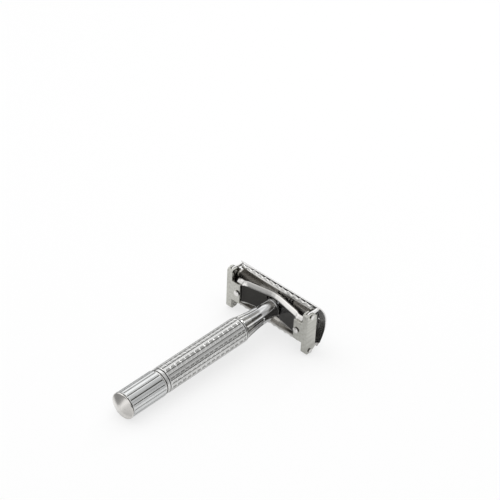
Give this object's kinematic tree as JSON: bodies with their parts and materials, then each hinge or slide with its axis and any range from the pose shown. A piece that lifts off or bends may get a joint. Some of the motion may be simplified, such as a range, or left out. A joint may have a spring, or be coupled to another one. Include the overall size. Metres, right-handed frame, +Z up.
{
  "type": "safety razor",
  "caption": "Double edge safety razor with twist-to-open doors, scalloped guard, ribbed grip and fluted knob.",
  "frame": {"origin": "centre of the bounding box's base, on the surface the razor lies on", "axes": "+X along the handle toward the head, +Y along the blade, +Z up from the surface"},
  "size_m": [0.0906, 0.044, 0.021],
  "materials": {
    "bright_plate": "bright plated",
    "satin_plate": "worn bright plated",
    "steel": "plain"
  },
  "bodies": {
    "handle": {"neck_barrel": "bright_plate", "grip_sleeve": "satin_plate", "grip_collar": "bright_plate", "knob_bushing": "bright_plate", "thrust_washer": "steel", "guard_plate": "bright_plate", "centre_rail": "bright_plate", "blade": "steel"},
    "knob": {"twist_knob": "satin_plate", "knob_end_cap": "bright_plate", "drive_screw": "steel", "retaining_ring": "steel"},
    "carriage": {"lift_rod": "steel", "crossbar_nut": "steel", "crossbar": "bright_plate", "end_bracket_left": "bright_plate", "end_bracket_right": "bright_plate", "bracket_rivet_left": "bright_plate", "bracket_rivet_right": "bright_plate", "hinge_pin_lower_left": "bright_plate", "hinge_pin_lower_right": "bright_plate", "hinge_pin_upper_left": "bright_plate", "hinge_pin_upper_right": "bright_plate"},
    "door_lower": {"door_lower": "bright_plate"},
    "door_upper": {"door_upper": "bright_plate"}
  },
  "joints": [
    {"name": "knob_turn", "type": "hinge", "parent": "handle", "child": "knob", "pos_m": [-0.04467, 0, 0.00551], "axis": [0.9982, 0, 0.0596], "range_deg": [0, 360]},
    {"name": "carriage_lift", "type": "slide", "parent": "handle", "child": "carriage", "axis": [0.9982, 0, 0.0596], "range_m": [0, 0.0013]},
    {"name": "door_lower_hinge", "type": "hinge", "parent": "carriage", "child": "door_lower", "pos_m": [0.03619, 0, 0.00192], "axis": [0, 1, 0], "range_deg": [0, 60]},
    {"name": "door_upper_hinge", "type": "hinge", "parent": "carriage", "child": "door_upper", "pos_m": [0.03519, 0, 0.01869], "axis": [0, -1, 0], "range_deg": [0, 60]}
  ],
  "couplings": [
    {"joint": "knob_turn", "follows": "carriage_lift", "rad_per_m": 4833.2},
    {"joint": "door_lower_hinge", "follows": "carriage_lift", "rad_per_m": 805.5},
    {"joint": "door_upper_hinge", "follows": "carriage_lift", "rad_per_m": 805.5}
  ]
}
